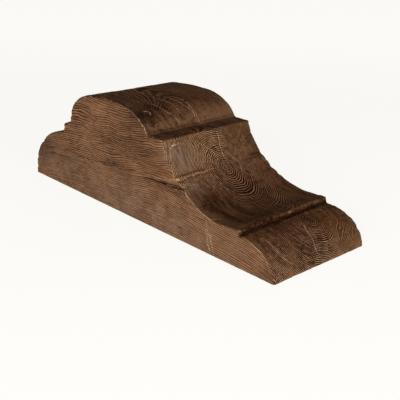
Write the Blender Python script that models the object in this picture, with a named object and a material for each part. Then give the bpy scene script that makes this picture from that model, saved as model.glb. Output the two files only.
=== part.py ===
import math

import bmesh
import bpy
from mathutils import Vector

# A corbel sawn and carved from one block of dark stained wood, lying on its long flat fixing face.
# Metres. +X runs to the thin end, +Y to the far side and +Z out of the fixing face.
# The origin is that face's centre.

# Block
LENGTH = 0.400
WIDTH = 0.120
PROJECTION = 0.1175

# Thick end: a quarter round that rises from the fixing face, then a riser and a sloping tread
HEEL_REACH = 0.080
HEEL_RISE = 0.066
HEEL_RUN = 0.0735
HEEL_RISER = 0.0098
RISER_LEAN = 0.0022
TREAD_RUN = 0.0128
TREAD_CLIMB = 0.0050
TREAD_DISH = 0.0003

# Roll: the big round member, with a long low crown
ROLL_FOOT = 0.0036
ROLL_FOOT_LEAN = 0.0030
ROLL_LIP = 0.0024
ROLL_BACK_RUN = 0.048
ROLL_BACK_ANGLE = 173.0
CROWN_RUN = 0.040
CROWN_ARCH = 0.0007
ROLL_FRONT_RADIUS = 0.055
ROLL_DROP = 0.0247
ROLL_TUCK = 0.0095

# Ledge under the roll
LEDGE_RUN = 0.0226
LEDGE_CORNER = 0.0018
LEDGE_EDGE = 0.0012

# Hollow: a long concave sweep down to a shallow trough. It takes up the length that the other members leave.
HOLLOW_DIVE = 0.0305
HOLLOW_DIVE_ANGLE = math.radians(72.0)
HOLLOW_GLIDE = 0.0274
TROUGH_RUN = 0.0277
TROUGH_FALL = 0.0014
TROUGH_DISH = 0.0010

# Thin end: a fillet, then a quarter round down to the fixing face
FILLET_RISE = 0.0044
FILLET_LEAN = 0.0013
TOE_RUN = 0.0425
TOE_RISE = 0.0308

# The hand-cut far side: its lip is set back, its roll a little shorter, its hollow fuller and its toe longer
FAR_LIP_SETBACK = 0.0036
FAR_ROLL_SETBACK = 0.0020
FAR_FLOOR_LIFT = 0.0022
FAR_FILLET_LIFT = 0.0020
FAR_TOE_LIFT = 0.0009
FAR_DIVE_GAIN = 0.0110
FAR_HOLLOW_GAIN = 0.0080
FAR_TOE_GAIN = 0.0024

# Wear: rounded arrises along both sides, and a slow and a quick unevenness along the fillet and the tread
ARRIS = 0.0011
WEAR_SPAN = 0.010
SLOW_WANDER = 0.00038
SLOW_PITCH = 0.031
QUICK_WANDER = 0.00022
QUICK_PITCH = 0.0135
TREAD_PHASE = 0.7
FILLET_PHASE = 2.9

# Torn grain: a low transverse step across the hollow, open in the middle
TEAR_FROM_LIP = 0.0200
TEAR_LIFT = 0.0013
TEAR_GAP = 0.0006
TEAR_NEAR_LENGTH = 0.046
TEAR_NEAR_FADE = 0.015
TEAR_FAR_LENGTH = 0.024
TEAR_FAR_FADE = 0.008
TEAR_TAIL = 0.016

# Chips out of the arrises: how far they bite into the outline, and run along it and across the block
CHIP_BITE = 0.0022
CHIP_LENGTH = 0.0085
CHIP_REACH = 0.0060
NICK_BITE = 0.0014
NICK_LENGTH = 0.0050
NICK_REACH = 0.0035
FAR_NICK_GAP = 0.0150

# Drying check in the near side, which opens towards the hollow
SIDE_CHECK_LENGTH = 0.054
SIDE_CHECK_HEIGHT = 0.0498
SIDE_CHECK_CLIMB = 0.0026
SIDE_CHECK_WIDTH = 0.0022
SIDE_CHECK_DEPTH = 0.0090
SIDE_CHECK_WAVE = 0.0007
SIDE_CHECK_WAVES = 1.1

# Heart check: a radial crack from the ledge's edge down the hollow, slanting towards the near side
HEART_CHECK_OFFSET = 0.0103
HEART_CHECK_SLANT = 0.0058
HEART_CHECK_LENGTH = 0.0200
HEART_CHECK_WIDTH = 0.0013
HEART_CHECK_DEPTH = 0.0035

# Both checks taper to this share of their section at the fine end
CHECK_TAPER = 0.25

# How far the cutters stand out of the wood
CUTTER_OVERHANG = 0.002

# Steps along each curve and from side to side, and how closely a place on the hollow is found
HEEL_STEPS = 30
ROLL_STEPS = 24
CROWN_STEPS = 6
HOLLOW_TOP_STEPS = 14
HOLLOW_FOOT_STEPS = 28
TOE_STEPS = 30
CHECK_STEPS = 9
CROSS_STEPS = 12
HALVINGS = 40
SLOPE_STEP = 0.01

# Finish
WOOD_COLOUR = (0.145, 0.071, 0.034, 1.0)
WOOD_ROUGHNESS = 0.68
SHARP_ANGLE = math.radians(32.0)

# Heights of the members above the fixing face
tread_low = HEEL_RISE + HEEL_RISER
tread_high = tread_low + TREAD_CLIMB
roll_foot = tread_high + ROLL_FOOT
shoulder = PROJECTION - CROWN_ARCH
ledge_height = PROJECTION - ROLL_DROP
fillet_height = TOE_RISE + FILLET_RISE
floor_height = fillet_height - TROUGH_FALL

# Places along the block, from the thick end, on the near side
roll_front_rise = shoulder - ledge_height + ROLL_TUCK
roll_front_run = ROLL_FRONT_RADIUS * math.cos(math.asin(ROLL_TUCK / roll_front_rise))
tread_start = HEEL_RUN + RISER_LEAN
roll_start = tread_start + TREAD_RUN + ROLL_FOOT_LEAN
crown_start = roll_start + ROLL_BACK_RUN
crown_end = crown_start + CROWN_RUN
ledge_start = crown_end + roll_front_run
lip = ledge_start + LEDGE_RUN
toe_start = LENGTH - TOE_RUN
fillet_start = toe_start - FILLET_LEAN
hollow_end = fillet_start - TROUGH_RUN
near_side = -WIDTH / 2
far_side = WIDTH / 2


def clear_scene():
    for old in list(bpy.data.objects):
        bpy.data.objects.remove(old, do_unlink=True)


def blend(value):
    """Smooth step from 0 to 1."""
    value = min(max(value, 0.0), 1.0)
    return value * value * (3.0 - 2.0 * value)


def bump(value, centre, reach):
    """1 at the centre, falling smoothly to 0 at the reach on either side."""
    return 1.0 - blend(abs(value - centre) / reach)


def wander(y, phase):
    """The slow unevenness of a hand-cut edge, by place across the block."""
    turn = 2.0 * math.pi * y
    return (SLOW_WANDER * math.sin(turn / SLOW_PITCH + phase)
            + QUICK_WANDER * math.sin(turn / QUICK_PITCH + 2.0 * phase))


def ellipse(centre_x, centre_z, reach, rise, start, end, steps):
    """Points of an ellipse between two angles in degrees, 0 along +X and 90 up."""
    points = []
    for step in range(steps + 1):
        angle = math.radians(start + (end - start) * step / steps)
        points.append((centre_x + reach * math.cos(angle), centre_z + rise * math.sin(angle)))
    return points


def heel():
    """The quarter round of the thick end, cut off where the riser meets it."""
    cut = math.degrees(math.acos((HEEL_RUN - HEEL_REACH) / HEEL_REACH))
    return ellipse(HEEL_REACH, 0.0, HEEL_REACH, HEEL_RISE, 180.0, cut, HEEL_STEPS)


def tread(y):
    """Riser, sloping tread and the small lip at the foot of the roll."""
    worn = wander(y, TREAD_PHASE)
    middle = tread_start + TREAD_RUN / 2
    tread_end = tread_start + TREAD_RUN
    return [(tread_start - worn, tread_low), (middle, (tread_low + tread_high) / 2 - TREAD_DISH + worn / 2),
            (tread_end, tread_high), (tread_end + ROLL_FOOT_LEAN, roll_foot),
            (roll_start - ROLL_LIP + worn / 2, roll_foot + ROLL_LIP / 2)]


def roll(far):
    """The round member, from its foot at the back over the crown to the ledge."""
    shortened = FAR_ROLL_SETBACK * far
    back = ellipse(crown_start, roll_foot, ROLL_BACK_RUN, shoulder - roll_foot,
                   ROLL_BACK_ANGLE, 90.0, ROLL_STEPS)
    crown = []
    for step in range(1, CROWN_STEPS):
        share = step / CROWN_STEPS
        crown.append((crown_start + CROWN_RUN * share, PROJECTION - CROWN_ARCH * (2 * share - 1) ** 2))
    foot_angle = math.degrees(math.asin(ROLL_TUCK / roll_front_rise))
    front = ellipse(crown_end, shoulder - roll_front_rise, ROLL_FRONT_RADIUS - shortened, roll_front_rise,
                    90.0, foot_angle, ROLL_STEPS)
    return back + crown + front[:-1]


def ledge(far):
    """The flat under the roll, with a soft inner corner and a worn outer edge."""
    start = ledge_start - FAR_ROLL_SETBACK * far
    end = lip - FAR_LIP_SETBACK * far
    return [(start, ledge_height + LEDGE_CORNER), (start + LEDGE_CORNER, ledge_height),
            (end - LEDGE_EDGE, ledge_height)]


def hollow_point(far, t):
    """One point of the hollow's cubic curve: t runs from 0 at the lip to 1 at the trough."""
    start = Vector((lip - FAR_LIP_SETBACK * far, ledge_height - LEDGE_EDGE / 2))
    end = Vector((hollow_end + FAR_HOLLOW_GAIN * far, floor_height + FAR_FLOOR_LIFT * far))
    down = Vector((math.cos(HOLLOW_DIVE_ANGLE), -math.sin(HOLLOW_DIVE_ANGLE)))
    upper = start + down * (HOLLOW_DIVE + FAR_DIVE_GAIN * far)
    lower = end - Vector((HOLLOW_GLIDE, 0.0))
    s = 1.0 - t
    return start * s ** 3 + upper * (3 * t * s * s) + lower * (3 * t * t * s) + end * t ** 3


def hollow_t(far, passed):
    """The t at which the hollow's curve has passed a place, found by halving."""
    low = 0.0
    high = 1.0
    for _ in range(HALVINGS):
        middle = (low + high) / 2
        if passed(hollow_point(far, middle)):
            high = middle
        else:
            low = middle
    return high


def tear_place(far):
    """Where the torn step crosses the hollow, from the thick end."""
    return lip - FAR_LIP_SETBACK * far + TEAR_FROM_LIP


def tear_lift(past, y):
    """How far the torn grain stands up at a distance past the tear, from either side of the block inwards."""
    near_part = blend((near_side + TEAR_NEAR_LENGTH - y) / TEAR_NEAR_FADE)
    far_part = blend((y - far_side + TEAR_FAR_LENGTH) / TEAR_FAR_FADE)
    return TEAR_LIFT * max(near_part, far_part) * (1.0 - blend(past / TEAR_TAIL))


def hollow(y, far):
    """The sweep down to the trough, in two stretches that part by a hair where the grain is torn."""
    tear = tear_place(far)
    above = hollow_t(far, lambda point: point.x >= tear - TEAR_GAP / 2)
    below = hollow_t(far, lambda point: point.x >= tear + TEAR_GAP / 2)
    points = [hollow_point(far, above * step / HOLLOW_TOP_STEPS) for step in range(HOLLOW_TOP_STEPS + 1)]
    for step in range(HOLLOW_FOOT_STEPS + 1):
        point = hollow_point(far, below + (1.0 - below) * step / HOLLOW_FOOT_STEPS)
        point.y += tear_lift(point.x - tear, y)
        points.append(point)
    return points


def trough_and_fillet(y, far):
    """The nearly level run below the hollow, and the small step at its end."""
    worn = wander(y, FILLET_PHASE) + FAR_TOE_GAIN * far / 2
    middle = hollow_end + (FAR_HOLLOW_GAIN * far + TROUGH_RUN) / 2
    crest = fillet_height + FAR_FILLET_LIFT * far
    return [(middle, fillet_height - TROUGH_DISH + FAR_FLOOR_LIFT * far),
            (fillet_start - FILLET_LEAN + worn, crest),
            (fillet_start + worn, crest - FILLET_LEAN / 2),
            (toe_start + worn / 2, TOE_RISE + FAR_TOE_LIFT * far)]


def toe(far):
    """The quarter round of the thin end."""
    rise = TOE_RISE + FAR_TOE_LIFT * far
    return ellipse(toe_start, 0.0, TOE_RUN + FAR_TOE_GAIN * far, rise, 90.0, 0.0, TOE_STEPS)[1:]


def outline(y):
    """The whole profile at one place across the block, from the thick end to the thin end."""
    far = blend((y - near_side) / WIDTH)
    points = heel() + tread(y) + roll(far) + ledge(far)
    points += hollow(y, far) + trough_and_fillet(y, far) + toe(far)
    return [Vector((x - LENGTH / 2, z)) for x, z in points]


def chip_depth(point, y):
    """How far the outline is bitten back at a point by the worn arris and by the chips."""
    near_gap = y - near_side
    far_gap = far_side - y
    depth = ARRIS * max(1.0 - near_gap / ARRIS, 1.0 - far_gap / ARRIS, 0.0)
    x = point.x + LENGTH / 2
    chips = ((tear_place(0.0), near_gap, CHIP_BITE, CHIP_LENGTH, CHIP_REACH),
             (tear_place(1.0), far_gap, NICK_BITE, NICK_LENGTH, NICK_REACH),
             (tear_place(1.0) + FAR_NICK_GAP, far_gap, NICK_BITE, NICK_LENGTH, NICK_REACH),
             (tread_start + TREAD_RUN, near_gap, NICK_BITE, NICK_LENGTH, NICK_REACH),
             (fillet_start, near_gap, NICK_BITE, NICK_LENGTH, NICK_REACH))
    for centre, gap, bite, run, reach in chips:
        depth += bite * bump(x, centre, run) * (1.0 - blend(gap / reach))
    return depth


def inward_normals(points):
    """At each point, the normal of a chord over the outline around it, which smooths out small steps."""
    travelled = [0.0]
    for point, following in zip(points, points[1:]):
        travelled.append(travelled[-1] + (following - point).length)
    normals = []
    for here in travelled:
        nearby = [p for p, place in zip(points, travelled) if abs(place - here) <= WEAR_SPAN]
        chord = nearby[-1] - nearby[0]
        normals.append(Vector((chord.y, -chord.x)).normalized())
    return normals


def bitten_outline(y):
    """The profile with its points drawn in by wear and chips; its two ends stay on the fixing face."""
    points = outline(y)
    drawn = [p + inward * chip_depth(p, y) for p, inward in zip(points, inward_normals(points))]
    drawn[0].y = 0.0
    drawn[-1].y = 0.0
    return drawn


def stations():
    """Places across the block where a profile is set, closer together along both sides."""
    edges = [0.0, ARRIS, NICK_REACH, CHIP_REACH]
    inner_start = near_side + CHIP_REACH
    inner_run = WIDTH - 2 * CHIP_REACH
    inner = [inner_start + inner_run * step / CROSS_STEPS for step in range(1, CROSS_STEPS)]
    return [near_side + e for e in edges] + inner + [far_side - e for e in reversed(edges)]


def wood_material():
    material = bpy.data.materials.new("stained_wood")
    material.use_nodes = True
    shader = material.node_tree.nodes["Principled BSDF"]
    shader.inputs["Base Color"].default_value = WOOD_COLOUR
    shader.inputs["Roughness"].default_value = WOOD_ROUGHNESS
    shader.inputs["Metallic"].default_value = 0.0
    return material


def new_object(name, mesh_builder):
    """A scene object from a bmesh, with its faces turned outwards."""
    bmesh.ops.recalc_face_normals(mesh_builder, faces=mesh_builder.faces)
    mesh = bpy.data.meshes.new(name)
    mesh_builder.to_mesh(mesh)
    mesh_builder.free()
    built = bpy.data.objects.new(name, mesh)
    bpy.context.scene.collection.objects.link(built)
    return built


def skin(mesh_builder, rings):
    """A closed skin through rings of as many corners each. Returns the faces that close its two ends."""
    loops = [[mesh_builder.verts.new(corner) for corner in ring] for ring in rings]
    for loop, following in zip(loops, loops[1:]):
        for i in range(len(loop)):
            j = (i + 1) % len(loop)
            mesh_builder.faces.new((loop[i], loop[j], following[j], following[i]))
    return [mesh_builder.faces.new(loops[0]), mesh_builder.faces.new(loops[-1])]


def corbel_block():
    """The profile set at each station and skinned from side to side."""
    block = bmesh.new()
    sides = skin(block, [[(p.x, y, p.y) for p in bitten_outline(y)] for y in stations()])
    block.normal_update()
    bmesh.ops.triangulate(block, faces=sides)
    return new_object("corbel", block)


def wedge(name, path, across, width, depth):
    """A cutter with a V section along a path of (surface point, inward direction, share of the size)."""
    rings = []
    for point, inward, share in path:
        half = across * width * share / 2
        spread = 1.0 + CUTTER_OVERHANG / depth
        outer = point - inward * CUTTER_OVERHANG
        rings.append([outer - half * spread, outer + half * spread, point + inward * depth * share])
    cutter = bmesh.new()
    skin(cutter, rings)
    built = new_object(name, cutter)
    built.hide_render = True
    built.display_type = "WIRE"
    return built


def side_check_path():
    """Along the near side, from a hair line in the wood to where the check breaks out of the hollow."""
    mouth_height = SIDE_CHECK_HEIGHT + SIDE_CHECK_CLIMB
    mouth = hollow_point(0.0, hollow_t(0.0, lambda point: point.y <= mouth_height)).x - LENGTH / 2
    run = SIDE_CHECK_LENGTH + CUTTER_OVERHANG
    path = []
    for step in range(CHECK_STEPS + 1):
        t = step / CHECK_STEPS
        wave = SIDE_CHECK_WAVE * math.sin(2.0 * math.pi * SIDE_CHECK_WAVES * t)
        x = mouth - SIDE_CHECK_LENGTH + run * t
        path.append((Vector((x, near_side, SIDE_CHECK_HEIGHT + SIDE_CHECK_CLIMB * t + wave)),
                     Vector((0, 1, 0)), CHECK_TAPER + (1.0 - CHECK_TAPER) * t))
    return path


def heart_check_path():
    """Down the hollow from above its lip, slanting and tapering out, square to the surface all the way."""
    far = blend((HEART_CHECK_OFFSET - near_side) / WIDTH)
    top = hollow_point(far, 0.0)
    end = hollow_t(far, lambda point: (point - top).length >= HEART_CHECK_LENGTH)
    path = []
    for step in range(-1, CHECK_STEPS + 1):
        passed = step / CHECK_STEPS
        point = hollow_point(far, end * passed)
        slope = hollow_point(far, end * passed + SLOPE_STEP) - point
        share = 1.0 - (1.0 - CHECK_TAPER) * max(passed, 0.0)
        path.append((Vector((point.x - LENGTH / 2, HEART_CHECK_OFFSET - HEART_CHECK_SLANT * passed, point.y)),
                     Vector((slope.y, 0, -slope.x)).normalized(), share))
    return path


def cut(block, cutter):
    """A boolean that takes the cutter out of the block."""
    boolean = block.modifiers.new(cutter.name, "BOOLEAN")
    boolean.operation = "DIFFERENCE"
    boolean.solver = "EXACT"
    boolean.object = cutter


def build():
    clear_scene()
    block = corbel_block()
    block.data.materials.append(wood_material())
    block.data.shade_smooth()
    block.data.set_sharp_from_angle(angle=SHARP_ANGLE)
    upwards = Vector((0, 0, 1))
    across = Vector((0, 1, 0))
    cut(block, wedge("side_check_cutter", side_check_path(), upwards, SIDE_CHECK_WIDTH, SIDE_CHECK_DEPTH))
    cut(block, wedge("heart_check_cutter", heart_check_path(), across, HEART_CHECK_WIDTH, HEART_CHECK_DEPTH))


build()
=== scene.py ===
import math
import bpy
import numpy as np
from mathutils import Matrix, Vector


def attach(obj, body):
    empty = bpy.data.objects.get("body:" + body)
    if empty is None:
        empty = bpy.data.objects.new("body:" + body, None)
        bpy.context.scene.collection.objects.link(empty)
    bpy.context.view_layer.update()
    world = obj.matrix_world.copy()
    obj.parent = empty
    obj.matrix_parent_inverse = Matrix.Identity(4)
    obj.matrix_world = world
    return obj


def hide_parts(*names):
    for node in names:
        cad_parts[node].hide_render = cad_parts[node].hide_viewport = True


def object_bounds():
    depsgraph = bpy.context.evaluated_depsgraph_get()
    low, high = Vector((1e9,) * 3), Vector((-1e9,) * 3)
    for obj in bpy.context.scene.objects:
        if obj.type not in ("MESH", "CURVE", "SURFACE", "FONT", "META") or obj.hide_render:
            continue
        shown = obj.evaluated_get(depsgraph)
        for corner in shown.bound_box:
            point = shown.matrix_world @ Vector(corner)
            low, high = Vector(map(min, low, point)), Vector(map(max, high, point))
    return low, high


# A corbel carved from one block of dark stained wood, lying on its fixing face.
# Places are metres from the block's near bottom corner at the thick end: along it, across it, and up.

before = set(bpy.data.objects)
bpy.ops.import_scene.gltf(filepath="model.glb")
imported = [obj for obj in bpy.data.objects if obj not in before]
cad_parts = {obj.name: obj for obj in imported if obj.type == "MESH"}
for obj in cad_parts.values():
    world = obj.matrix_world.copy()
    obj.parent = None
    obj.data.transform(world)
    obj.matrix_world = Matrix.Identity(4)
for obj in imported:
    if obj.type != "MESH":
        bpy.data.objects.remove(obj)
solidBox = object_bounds()
bpy.ops.object.select_all(action="DESELECT")
corner = solidBox[0].copy()

camera = {
    "azimuth": 48.40,          # degrees round the block from square on to its near side
    "elevation": 20.78,
    "place": (0.50696, -0.41395, 0.25145),
    "lens": 57.4,
    "sensor": 36.0,
}

block = {
    "voxel": 0.0006,
    "quickVoxel": 0.0011,
    "smoothing": 5,
    "triangles": 188000,
    "seatHeight": 0.0004,      # below this the fixing face is flat
}

tree = {                       # how the tree grew
    "ringPitch": 0.0018,
    "linePitch": 0.0021,       # of the grain lines on the sides
    "pithAcross": (0.064, 0.076),      # behind the fillet and in front of it
    "fillet": (0.3572, 0.3590),
    "ringPath": ((-0.05, 0.030), (0.0, 0.035), (0.1, 0.045), (0.2, 0.0520), (0.253, 0.0545), (0.264, 0.0555),
                 (0.277, 0.0585), (0.290, 0.0605), (0.300, 0.0615), (0.310, 0.0635), (0.320, 0.0680),
                 (0.330, 0.0745), (0.345, 0.0820), (0.36, 0.088)),
    "toePith": (0.374, 0.029, 0.50),   # along, up and slope of the pith in front of the fillet
    "narrowing": 1.6,                  # the outer rings are closer, per metre of radius
    "pithPath": ((-0.05, 0.030), (0.0, 0.035), (0.1, 0.045), (0.2, 0.052), (0.250, 0.056),
                 (0.300, 0.050), (0.400, 0.038), (0.45, 0.034)),
    "pithEasing": 0.016,
    "ringEasing": 0.005,
    "oval": 0.05,
    "sway": 0.0006,
    "swaySize": 0.009,
    "ripple": 0.00022,
    "rippleSize": 0.0032,
    "curl": 0.0036,            # how far the grain wanders on the sides above curlFrom
    "curlSize": (0.034, 0.026, 0.024),
    "curlFrom": (0.050, 0.072),
    "waver": 0.0009,
    "waverSize": (0.013, 0.010, 0.009),
    "uneven": 0.0006,          # how far single rings stray from an even spacing
    "unevenSize": 0.005,
    "swell": (0.108, 0.104),   # the grain on the sides arches over this place, along and up
    "swellReach": (0.042, 0.018),
    "swellRise": 0.013,
    "drift": 0.0030,
    "driftSize": 0.060,
}

relief = {                     # heights and sizes in metres
    "ring": 0.00034,
    "sideLine": 0.00013,
    "rough": 0.00105,
    "roughSize": 0.0024,
    "ray": 0.00010,
    "fibre": 0.00012,
    "fibreSize": (0.020, 0.0021, 0.0021),
    "fineFibre": 0.00012,
    "fineFibreSize": (0.008, 0.0011, 0.0011),
    "hand": 0.00035,
    "handSize": 0.028,
    "chew": 0.00260,
    "chewSize": 0.0040,
    "calmChew": 0.14,          # share of the chewing left on the well kept arrises
    "fray": 0.0011,            # how far the marks wander
    "fraySize": 0.0040,
    "arrisRise": (0.00027, 0.00036),   # how far an arris stands out where wear starts, and where it is full
    "nookFall": 0.00022,
}

# Lines on the wood. lift is the height of the line, below 0 for a groove, and fray is how much it wavers.
# A path's places are (along, across) on the top, (across, up) on the steep front, and (along, up) on the near side.
# Lines that run close together are in different sets.
lines = [
    {"kind": "pale", "set": 1, "width": 0.00036, "lift": 0.00010, "fray": 1.0, "on": "top",
     "path": ((0.193, 0.065), (0.200, 0.069), (0.210, 0.070), (0.219, 0.0695), (0.227, 0.069), (0.232, 0.0685))},
    {"kind": "pale", "set": 2, "width": 0.00036, "lift": 0.00010, "fray": 1.0, "on": "top",
     "path": ((0.150, 0.047), (0.167, 0.050), (0.180, 0.054), (0.191, 0.057), (0.200, 0.061), (0.211, 0.0635),
              (0.220, 0.066), (0.227, 0.0665), (0.2315, 0.067))},
    {"kind": "pale", "set": 1, "width": 0.00030, "lift": 0.00008, "fray": 1.0, "on": "top",
     "path": ((0.184, 0.042), (0.193, 0.045), (0.200, 0.049), (0.210, 0.051), (0.222, 0.052))},
    {"kind": "pale", "set": 2, "width": 0.00030, "lift": 0.00008, "fray": 1.0, "on": "top",
     "path": ((0.200, 0.030), (0.2105, 0.0345), (0.218, 0.038), (0.2245, 0.042), (0.2285, 0.0445))},
    {"kind": "ochre", "set": 1, "width": 0.00050, "lift": 0.00010, "fray": 0.6, "on": "top",
     "path": ((0.2105, 0.0130), (0.2115, 0.0165), (0.2135, 0.0180), (0.2165, 0.0170))},
    {"kind": "pale", "set": 1, "width": 0.00028, "lift": 0.00010, "fray": 0.5, "on": "front",
     "path": ((0.062, 0.086), (0.066, 0.079), (0.0715, 0.0715), (0.078, 0.0655), (0.081, 0.060), (0.0805, 0.0555),
              (0.0775, 0.0525))},
    {"kind": "pale", "set": 2, "width": 0.00022, "lift": 0.00006, "fray": 0.5, "on": "front",
     "path": ((0.0445, 0.0565), (0.045, 0.0525), (0.045, 0.0495), (0.046, 0.046), (0.0455, 0.0435))},
    {"kind": "pale", "set": 2, "width": 0.00024, "lift": 0.00006, "fray": 0.5, "on": "front",
     "path": ((0.0415, 0.085), (0.049, 0.079), (0.056, 0.0735), (0.059, 0.0665), (0.0625, 0.061), (0.0635, 0.0565))},
    {"kind": "chalky", "set": 1, "width": 0.00060, "lift": 0.00006, "fray": 1.0, "on": "front",
     "path": ((0.026, 0.0858), (0.019, 0.0868), (0.012, 0.0864), (0.0075, 0.084), (0.005, 0.079), (0.0045, 0.074))},
    {"kind": "pale", "set": 1, "width": 0.00036, "lift": 0.00008, "fray": 0.5, "on": "top",
     "path": ((0.377, 0.063), (0.379, 0.0625), (0.384, 0.0605), (0.391, 0.059), (0.3955, 0.0575), (0.3985, 0.0565))},
    {"kind": "pale", "set": 2, "width": 0.00032, "lift": 0.00006, "fray": 0.5, "on": "top",
     "path": ((0.372, 0.0135), (0.378, 0.0145), (0.3865, 0.015), (0.3935, 0.018), (0.3975, 0.0245))},
    {"kind": "pale", "set": 1, "width": 0.00045, "lift": 0.00010, "fray": 1.0, "on": "top",
     "path": ((0.3215, 0.003), (0.3265, 0.009))},
    {"kind": "ochre", "set": 1, "width": 0.00028, "lift": 0.00030, "fray": 0.8, "on": "front",
     "path": ((0.0, 0.0585), (0.0065, 0.0595), (0.0145, 0.0605), (0.0225, 0.061), (0.031, 0.0605), (0.0405, 0.0605),
              (0.0475, 0.061))},
    {"kind": "ochre", "set": 2, "width": 0.00020, "lift": 0.00022, "fray": 1.0, "on": "front",
     "path": ((0.0, 0.062), (0.006, 0.0612), (0.012, 0.061), (0.019, 0.0612))},
    {"kind": "ochre", "set": 1, "width": 0.00026, "lift": 0.00030, "fray": 1.0, "on": "front",
     "path": ((0.0, 0.0545), (0.004, 0.0545), (0.011, 0.0540), (0.015, 0.0540))},
    {"kind": "ochre", "set": 2, "width": 0.00020, "lift": 0.00020, "fray": 1.0, "on": "front",
     "path": ((0.0, 0.0562), (0.004, 0.0560), (0.009, 0.0555))},
    {"kind": "ochre", "set": 1, "width": 0.00030, "lift": 0.00010, "fray": 0.6, "on": "front",
     "path": ((0.071, 0.088), (0.071, 0.083), (0.0695, 0.077), (0.0685, 0.0715), (0.0675, 0.0665))},
    {"kind": "ochre", "set": 1, "width": 0.00026, "lift": 0.00014, "fray": 0.5, "on": "side",
     "path": ((0.247, 0.0565), (0.259, 0.058), (0.268, 0.0588), (0.2745, 0.0598))},
    {"kind": "ochre", "set": 2, "width": 0.00024, "lift": 0.00010, "fray": 0.6, "on": "side",
     "path": ((0.240, 0.0532), (0.252, 0.055), (0.263, 0.0567), (0.272, 0.0577), (0.279, 0.058))},
    {"kind": "ochre", "set": 1, "width": 0.00020, "lift": 0.00008, "fray": 0.6, "on": "side",
     "path": ((0.254, 0.0536), (0.264, 0.0552), (0.274, 0.0564), (0.281, 0.057))},
    {"kind": "chalky", "set": 1, "width": 0.00055, "lift": 0.00004, "fray": 0.7, "on": "side",
     "path": ((0.3165, 0.032), (0.3185, 0.022), (0.320, 0.012), (0.3225, 0.002))},
    {"kind": "chalky", "set": 2, "width": 0.00050, "lift": 0.00004, "fray": 0.7, "on": "side",
     "path": ((0.3215, 0.021), (0.3240, 0.010), (0.327, 0.001))},
    {"kind": "pale", "set": 1, "width": 0.00040, "lift": 0.00005, "fray": 0.4, "on": "side",
     "path": ((0.284, 0.0535), (0.290, 0.0498), (0.300, 0.0444), (0.312, 0.0401), (0.325, 0.0368))},
    {"kind": "pale", "set": 2, "width": 0.00030, "lift": 0.00004, "fray": 0.5, "on": "side",
     "path": ((0.366, 0.0310), (0.374, 0.0290), (0.381, 0.0258), (0.387, 0.022), (0.391, 0.0175), (0.395, 0.010))},
    {"kind": "pale", "set": 1, "width": 0.00026, "lift": 0.00004, "fray": 0.8, "on": "side",
     "path": ((0.190, 0.1175), (0.200, 0.1155), (0.208, 0.1140), (0.218, 0.1085), (0.226, 0.1010), (0.231, 0.0945))},
    {"kind": "dark", "set": 1, "width": 0.00040, "lift": -0.00110, "fray": 0.5, "on": "front",
     "path": ((0.0705, 0.0895), (0.0695, 0.082), (0.068, 0.0755), (0.0675, 0.071), (0.066, 0.066), (0.0655, 0.060))},
    {"kind": "dark", "set": 1, "width": 0.00040, "lift": -0.00050, "fray": 0.8, "on": "front",
     "path": ((0.0, 0.057), (0.0065, 0.058), (0.0145, 0.0592), (0.0225, 0.0597), (0.031, 0.0593), (0.038, 0.0595))},
    {"kind": "dark", "set": 1, "width": 0.00042, "lift": -0.00060, "fray": 0.7, "on": "front",
     "path": ((0.096, 0.060), (0.107, 0.0605), (0.1165, 0.062), (0.120, 0.0622))},
    {"kind": "dark", "set": 1, "width": 0.00038, "lift": -0.00045, "fray": 0.7, "on": "front",
     "path": ((0.104, 0.0493), (0.111, 0.049), (0.120, 0.0493))},
    {"kind": "dark", "set": 1, "width": 0.00062, "lift": -0.00160, "fray": 0.12, "on": "side",
     "path": ((0.224, 0.0487), (0.2375, 0.0505), (0.2475, 0.051), (0.263, 0.052), (0.272, 0.053), (0.284, 0.054))},
    {"kind": "dark", "set": 2, "width": 0.00050, "lift": -0.00030, "fray": 0.5, "on": "side",
     "path": ((0.198, 0.0505), (0.205, 0.052), (0.212, 0.0525))},
    {"kind": "dark", "set": 1, "width": 0.00042, "lift": -0.00025, "fray": 0.5, "on": "side",
     "path": ((0.098, 0.044), (0.120, 0.045), (0.140, 0.0465), (0.156, 0.049), (0.178, 0.0515))},
    {"kind": "dark", "set": 2, "width": 0.00036, "lift": -0.00020, "fray": 0.5, "on": "side",
     "path": ((0.150, 0.047), (0.165, 0.048), (0.182, 0.050))},
    {"kind": "dark", "set": 1, "width": 0.00034, "lift": -0.00015, "fray": 0.5, "on": "side",
     "path": ((0.038, 0.035), (0.056, 0.036), (0.074, 0.037), (0.090, 0.0385))},
    {"kind": "dark", "set": 2, "width": 0.00034, "lift": -0.00015, "fray": 0.5, "on": "side",
     "path": ((0.250, 0.045), (0.265, 0.046), (0.282, 0.047))},
    # painted shadow: a groove at the fillet's foot, blackened where the fillet shades it
    {"kind": "dark", "set": 2, "width": 0.00060, "lift": -0.00035, "fray": 0.8, "on": "top",
     "path": ((0.3604, 0.0005), (0.3603, 0.027), (0.3598, 0.050), (0.3602, 0.0705), (0.3608, 0.0945), (0.3614, 0.1195))},
    {"kind": "dark", "set": 1, "width": 0.00034, "lift": -0.00020, "fray": 1.0, "on": "top",
     "path": ((0.3545, 0.0005), (0.3550, 0.020), (0.3545, 0.045), (0.3553, 0.070), (0.3550, 0.095), (0.3558, 0.1195))},
]
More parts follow.
